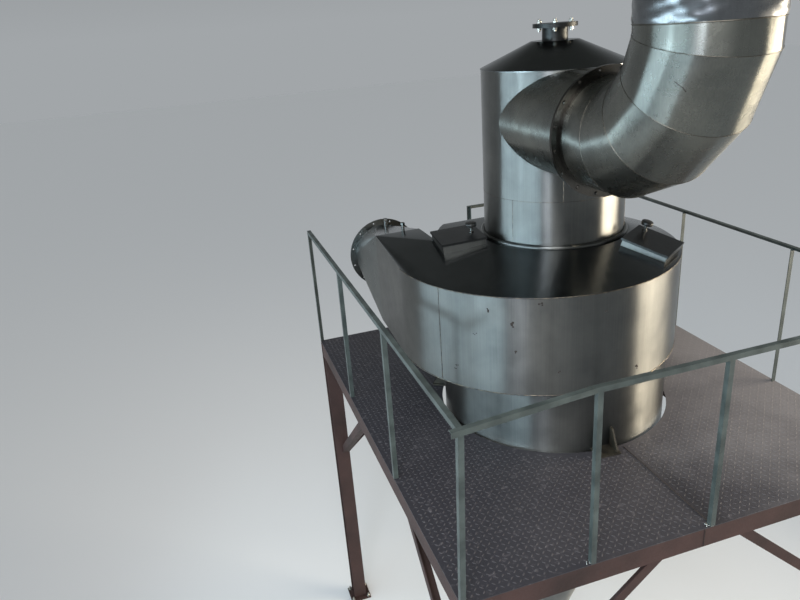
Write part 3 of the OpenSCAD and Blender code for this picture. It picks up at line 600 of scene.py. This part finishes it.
# each mitre weld is an ellipse on the plane that halves the turn between two gores
gore = 2 * elbow_r * math.tan(math.radians(gore_angle / 2))
centre = Vector((joint.x, axis.y - elbow_start - gore / 2, joint.z))
mitres = []
for k in range(4):
    before, after = math.radians(gore_angle * k), math.radians(gore_angle * (k + 1))
    d0 = Vector((0, -math.cos(before), math.sin(before)))
    d1 = Vector((0, -math.cos(after), math.sin(after)))
    across, halfway = Vector((0, math.sin(before), math.cos(before))), (d0 + d1).normalized()
    loop = []
    for i in range(120):
        a = 2 * math.pi * i / 120
        slip = -pipe_r * math.sin(a) * across.dot(halfway) / d0.dot(halfway)
        loop.append(centre + Vector((pipe_r * math.cos(a), 0, 0)) + across * pipe_r * math.sin(a) + d0 * slip)
    mitres.append(bead(loop, mitre_bead_r, True))
    centre = centre + d1 * gore
turns = [a / 20 for a in range(126)]
ring = [riser + Vector((pipe_r * math.cos(a), pipe_r * math.sin(a), riser_seam)) for a in turns]
mitres.append(bead(ring, riser_bead_r, True))

# Brushed weld: hardly darker than the sheet, a thin line with a straw glint.
brushed = stainless("stainless_mitre_weld_brushed", "#55524c", "#77736a", 0.30, 0.001)
make("elbow_mitre_welds", *gather(mitres), brushed, "stainless", True)

# Sleeve slipped over the top of the riser, under its flange, and a scratch on the third gore.
# The sleeve is thin polished sheet, a little wavy; the scratch came from a knock.

sleeve_foot, sleeve_row, sleeve_rows, sleeve_sides = 5.604, 0.0138, 9, 160
points, faces = [], []
for row in range(sleeve_rows):
    for k in range(sleeve_sides):
        a = 2 * math.pi * k / sleeve_sides
        ripple = 0.0006 * math.sin(a * 23 + row * 0.9) + 0.0008 * math.sin(a * 9 - row * 1.7)
        r = pipe_r + (0.0008 if row in (0, sleeve_rows - 1) else 0.0034 + ripple)
        points.append(riser + Vector((r * math.cos(a), r * math.sin(a), sleeve_foot + sleeve_row * row)))
        if row:
            j = (k + 1) % sleeve_sides
            under, over = (row - 1) * sleeve_sides, row * sleeve_sides
            faces.append((under + k, under + j, over + j, over + k))

# Hand-polished sheet: it breaks the light up into bright and dark patches.
sleeve = stainless("stainless_sleeve_polished", "#5c5f61", "#7c7e80", 0.24, 0.002)
make("riser_sleeve", points, faces, sleeve, "stainless", True)

# points of the scratch on the outside of the gore, from the axis of the cyclone
scratch = ((-0.3945, -1.6500, 5.3810), (-0.3917, -1.6528, 5.3787), (-0.3800, -1.6638, 5.3666),
           (-0.3676, -1.6739, 5.3544), (-0.3561, -1.6795, 5.3381))
scratch_r = 0.0016
make("elbow_scratch", *bead([axis + Vector(p) for p in scratch], scratch_r), grime, "stainless", True)

# Branch joint: two rings bolted together on a gasket with sixteen M12 bolts.
# Turned stainless rings, dull and stained, and a gasket of brown pressed fibre.

# Stained finish: dark warm grey with a few sharp glints on the bolts.
ring_finish = stainless("stainless_ring_dull_and_stained", "#41403e", "#686560", 0.22, 0.001)
dress(["branch_flange", "elbow_flange"], ring_finish)

# Pressed fibre: a dead matt brown line, felted about 3 mm.
brown, t, skin, here = blank("fibre_gasket_brown")
felt = add(t, "ShaderNodeTexNoise", {"Scale": 1 / 0.003, "Detail": 4.0}, here)
tone = add(t, "ShaderNodeValToRGB", links={"Fac": felt.outputs["Fac"]})
tone.color_ramp.elements[0].color, tone.color_ramp.elements[1].color = linear("#43332a"), linear("#6b5446")
t.links.new(tone.outputs["Color"], skin.inputs["Base Color"])
skin.inputs["Roughness"].default_value = 0.85
dress(["branch_gasket"], brown)

ring_wide, bolts_at = 0.048, 0.58      # width of a ring, and the share of it where the bolts stand
bolt_ring_r = pipe_r + ring_wide * bolts_at
ring_face = Vector((0, 0.0095, 0))     # from the middle of the gasket to the outer face of a ring
bolt_across, head_high, nut_thick = 0.019, 0.008, 0.010
bolt_rings = [(0.006, -0.016), (0.006, 0.028), (0.005, 0.030)]
parts = []
for i in range(16):
    a = math.radians((i + 0.5) * 22.5)
    at = joint + Vector((bolt_ring_r * math.cos(a), 0, bolt_ring_r * math.sin(a)))
    parts.append(nut(at + ring_face, (0, 1, 0), bolt_across, nut_thick, i))
    parts.append(nut(at - ring_face, (0, -1, 0), bolt_across, head_high, i * 1.7))
    parts.append(turned(bolt_rings, at, (0, 1, 0), 12))
make("branch_joint_bolts", *gather(parts), ring_finish, "stainless")

# Hatches on the deck: a frame of upright strips, a lid with turned-down edges and a clamping knob.
# Folded stainless sheet; the frames are welded to the deck, and the knobs screw down on studs.

dress(["hatch_frame_left", "hatch_frame_right"], bright)

# Polish gone dull under dust: the lids stay dark where the deck still mirrors what is round it.
dusty = stainless("stainless_lid_dulled_by_dust", "#3b3c3c", "#525353", 0.30, 0.002)
dress(["hatch_lid_left", "hatch_lid_right"], dusty)

# Black resin, moulded: a soft dark gloss with finger wear in patches about 15 mm wide.
resin, t, skin, here = blank("black_moulded_resin")
wear = add(t, "ShaderNodeTexNoise", {"Scale": 1 / 0.015, "Detail": 3.0}, here)
tone = add(t, "ShaderNodeValToRGB", links={"Fac": wear.outputs["Fac"]})
tone.color_ramp.elements[0].color, tone.color_ramp.elements[1].color = linear("#161616"), linear("#2b2a28")
t.links.new(tone.outputs["Color"], skin.inputs["Base Color"])
skin.inputs["Roughness"].default_value = 0.40

knob_rings = [(0.014, -0.030), (0.030, -0.0235), (0.0375, -0.016), (0.0375, -0.004), (0.031, 0.002),
              (0.012, 0.003)]
stud_rings = [(0.016, -0.065), (0.016, -0.058), (0.0095, -0.056), (0.0095, -0.028)]
for name in ("hatch_lid_left", "hatch_lid_right"):
    # the lid's largest face gives its direction, and the highest points along it are the knob's top
    mesh = node[name].data
    up = max(mesh.polygons, key=lambda face: face.area).normal.copy()
    up = up if up.z > 0 else -up
    far = max(v.co.dot(up) for v in mesh.vertices)
    tops = [v.co for v in mesh.vertices if v.co.dot(up) > far - 0.0006]
    crown = sum(tops, Vector()) / len(tops)
    make(name + "_knob", *turned(knob_rings, crown, up, 36), resin, None, True)
    make(name + "_stud", *turned(stud_rings, crown, up, 20), bright, "stainless")

# Handrail of 30 mm steel angle: one top rail on posts.
# Mild steel, welded together and to the plate, then painted with a brush.

# Thin grey-green paint: half dull, cloudy over about 120 mm, with chips about 6 mm wide down to the steel.
rail, t, skin, here = blank("grey_green_paint_on_angle")
cover = add(t, "ShaderNodeTexNoise", {"Scale": 1 / 0.12, "Detail": 4.0}, here)
chips = add(t, "ShaderNodeTexNoise", {"Scale": 1 / 0.006, "Detail": 4.0}, here)
tone = add(t, "ShaderNodeValToRGB", links={"Fac": cover.outputs["Fac"]})
tone.color_ramp.elements[0].position, tone.color_ramp.elements[0].color = 0.35, linear("#343b39")
tone.color_ramp.elements[1].position, tone.color_ramp.elements[1].color = 0.70, linear("#4d5552")
chip = add(t, "ShaderNodeMapRange", {"From Min": 0.66, "From Max": 0.72, "To Max": 0.8},
           {"Value": chips.outputs["Fac"]})
body = add(t, "ShaderNodeMix", {"B": linear("#4d4a46")},
           {"Factor": chip.outputs["Result"], "A": tone.outputs["Color"]}, data_type="RGBA")
t.links.new(body.outputs[2], skin.inputs["Base Color"])
skin.inputs["Roughness"].default_value = 0.45
relief = add(t, "ShaderNodeBump", {"Strength": 1.0, "Distance": 0.0003}, {"Height": chips.outputs["Fac"]})
t.links.new(relief.outputs["Normal"], skin.inputs["Normal"])
dress(["rail_front", "rail_left", "rail_right", "rail_back"], rail)

# Floor of the studio: plain, pale and matt.
# It is far larger than the part, so that its edge lies at the horizon.

floor_half = 60
floor_mesh = bpy.data.meshes.new("floor")
floor_mesh.from_pydata([(-floor_half, -floor_half, 0), (floor_half, -floor_half, 0),
                        (floor_half, floor_half, 0), (-floor_half, floor_half, 0)], [], [(0, 1, 2, 3)])
floor = bpy.data.objects.new("floor", floor_mesh)
bpy.context.scene.collection.objects.link(floor)
pale = bpy.data.materials.new("floor_pale_matt")
pale.use_nodes = True
skin = pale.node_tree.nodes["Principled BSDF"]
skin.inputs["Base Color"].default_value = linear("#dddfe0")
skin.inputs["Roughness"].default_value = 0.9
floor_mesh.materials.append(pale)

# World: an even pale fill lights the part. The camera and the metal see a backdrop instead,
# which is grey at the horizon and darkens as it climbs.

world = bpy.data.worlds.new("studio")
bpy.context.scene.world = world
world.use_nodes = True
t = world.node_tree
t.nodes.clear()
toward = add(t, "ShaderNodeTexCoord")
split = add(t, "ShaderNodeSeparateXYZ", links={"Vector": toward.outputs["Generated"]})
climb = add(t, "ShaderNodeValToRGB", links={"Fac": split.outputs["Z"]})
climb.color_ramp.elements[0].position, climb.color_ramp.elements[0].color = 0.0, linear("#a2a6a9")
climb.color_ramp.elements[1].position, climb.color_ramp.elements[1].color = 0.60, linear("#404341")
kind = add(t, "ShaderNodeLightPath")
seen = add(t, "ShaderNodeMath", links={0: kind.outputs["Is Camera Ray"], 1: kind.outputs["Is Glossy Ray"]},
           operation="MAXIMUM")
seen = add(t, "ShaderNodeMath", links={0: seen.outputs[0], 1: kind.outputs["Is Transmission Ray"]},
           operation="MAXIMUM")
fill = add(t, "ShaderNodeBackground", {"Color": linear("#e9edf0"), "Strength": 0.62})
shown = add(t, "ShaderNodeBackground", {"Strength": 1.0}, {"Color": climb.outputs["Color"]})
both = add(t, "ShaderNodeMixShader", links={0: seen.outputs[0], 1: fill.outputs[0], 2: shown.outputs[0]})
add(t, "ShaderNodeOutputWorld", links={"Surface": both.outputs[0]})

# Five soft panels: two cool ones at the left and a warm one at the right give the steel its upright bands,
# one behind the camera lights the end of the elbow, and one above the front lights the plates.

aim_height = 3.6
panel_spread = 100                     # in degrees


def panel(name, degrees, distance, z, wide, tall, power, colour):
    """A soft panel that stands round the object and faces its axis."""
    lamp = bpy.data.lights.new(name, "AREA")
    lamp.shape = "RECTANGLE"
    lamp.size, lamp.size_y = wide, tall
    lamp.energy = power
    lamp.color = linear(colour)[:3]
    lamp.spread = math.radians(panel_spread)
    thing = bpy.data.objects.new(name, lamp)
    a = math.radians(degrees)
    thing.location = (axis.x + distance * math.cos(a), axis.y + distance * math.sin(a), z)
    aim = Vector((axis.x, axis.y, aim_height)) - Vector(thing.location)
    thing.rotation_euler = aim.to_track_quat("-Z", "Z").to_euler()
    thing.visible_camera = False
    bpy.context.scene.collection.objects.link(thing)


panel("panel_left_far", 205, 7.0, 4.2, 0.8, 5.0, 78, "#d4f0ff")
panel("panel_left_near", 172, 7.0, 4.2, 0.9, 5.0, 72, "#d4f0ff")
panel("panel_right", -20, 7.0, 4.2, 1.7, 5.0, 245, "#ffefd6")
panel("panel_behind", 231, 8.0, 7.4, 0.8, 2.6, 60, "#e6f0ff")
panel("panel_top", -110, 5.5, 8.5, 5.0, 3.0, 95, "#ffffff")

# Camera, at the photograph's place and angle. Its focal length is in pixels of the 800 pixel wide frame,
# its place is from the axis of the cyclone, and its turns are in radians.

focal_px, frame_px, sensor_mm = 696.21, 800, 36.0
camera_from_axis = Vector((-2.3395, -4.1134, 5.7052))
yaw, pitch, roll = -0.2851, 0.3866, -0.0766
view = bpy.data.cameras.new("camera")
view.sensor_width = sensor_mm
view.lens = focal_px / frame_px * sensor_mm
view.clip_end = 200
camera = bpy.data.objects.new("camera", view)
bpy.context.scene.collection.objects.link(camera)
ahead0, side0 = Vector((-math.sin(yaw), math.cos(yaw), 0)), Vector((math.cos(yaw), math.sin(yaw), 0))
up0 = Vector((0, 0, 1))
ahead = ahead0 * math.cos(pitch) - up0 * math.sin(pitch)
lift0 = up0 * math.cos(pitch) + ahead0 * math.sin(pitch)
side = side0 * math.cos(roll) + lift0 * math.sin(roll)
lift = lift0 * math.cos(roll) - side0 * math.sin(roll)
turn = Matrix(((side.x, lift.x, -ahead.x), (side.y, lift.y, -ahead.y), (side.z, lift.z, -ahead.z)))
camera.matrix_world = Matrix.Translation(axis + camera_from_axis) @ turn.to_4x4()
bpy.context.scene.camera = camera
bpy.context.scene.view_settings.view_transform = "Standard"
